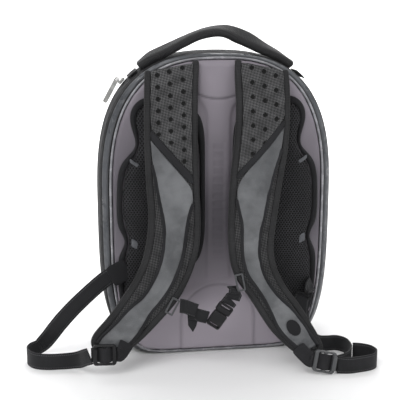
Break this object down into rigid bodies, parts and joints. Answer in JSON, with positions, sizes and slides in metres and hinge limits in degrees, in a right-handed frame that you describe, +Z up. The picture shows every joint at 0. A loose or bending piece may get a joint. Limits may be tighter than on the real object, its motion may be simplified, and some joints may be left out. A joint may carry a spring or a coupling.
{
  "type": "motorcycle backpack",
  "caption": "Upright moulded backpack with a domed hard shell, padded back panel, curved shoulder straps with webbing and adjusters, chest strap and carry handle.",
  "frame": {"origin": "on the flat base of the shell, midway across the bag and 80 mm behind the face of the back panel", "axes": "+Z up the bag, -Y out of the back panel towards the wearer, +X to the right as seen from the harness side"},
  "size_m": [0.523, 0.2943, 0.4994],
  "materials": {
    "moulded_shell": "fine-grained moulded skin",
    "satin_band": "satin coated fabric",
    "black_fabric": "woven black fabric",
    "zip_tape": "black zip tape and coil",
    "panel_skin": "soft-touch moulded panel skin",
    "piping": "glossy silver-grey piping",
    "pad_rim": "smooth pressed foam rim",
    "pad_mesh": "open air mesh",
    "strap_body": "fine mesh over foam",
    "spacer_mesh": "diagonal spacer mesh with large holes",
    "ribbon": "satin coated ribbon",
    "webbing": "ribbed webbing",
    "black_plastic": "moulded black plastic",
    "grey_plastic": "moulded grey plastic",
    "zip_metal": "satin plated metal",
    "label": "blank rubberised patch"
  },
  "bodies": {
    "bag": {"front_shell": "moulded_shell", "gusset_band": "satin_band", "pad_strip_upper_left": "satin_band", "pad_strip_upper_right": "satin_band", "pad_strip_lower_left": "satin_band", "pad_strip_lower_right": "satin_band", "gusset": "black_fabric", "strap_binding_left": "black_fabric", "strap_binding_right": "black_fabric", "strap_seam_left": "black_fabric", "strap_seam_right": "black_fabric", "strap_end_tab_left": "black_fabric", "strap_end_tab_right": "black_fabric", "grab_handle": "black_fabric", "zip_garage": "black_fabric", "zip_end_tab": "black_fabric", "zip_chain": "zip_tape", "back_panel": "panel_skin", "panel_piping": "piping", "pad_rim_left": "pad_rim", "pad_rim_right": "pad_rim", "back_pad_left": "pad_mesh", "back_pad_right": "pad_mesh", "shoulder_strap_left": "strap_body", "shoulder_strap_right": "strap_body", "strap_mesh_left": "spacer_mesh", "strap_mesh_right": "spacer_mesh", "strap_cover_left": "ribbon", "strap_cover_right": "ribbon", "lower_webbing_left": "webbing", "lower_webbing_right": "webbing", "webbing_tail_right": "webbing", "sternum_webbing_left": "webbing", "sternum_webbing_loop": "webbing", "sternum_tail": "webbing", "sternum_webbing_right": "webbing", "ladder_lock_left": "black_plastic", "sternum_buckle": "black_plastic", "sternum_tongue": "black_plastic", "ladder_lock_right": "grey_plastic", "sternum_clip_left": "grey_plastic", "sternum_clip_right": "grey_plastic", "zip_slider": "zip_metal", "label_patch": "label"},
    "zip_puller": {"zip_puller": "zip_metal"}
  },
  "joints": [
    {"name": "zip_pull", "type": "hinge", "parent": "bag", "child": "zip_puller", "pos_m": [-0.14679, -0.026, 0.42119], "axis": [0, 1, 0], "range_deg": [0, 150]}
  ]
}
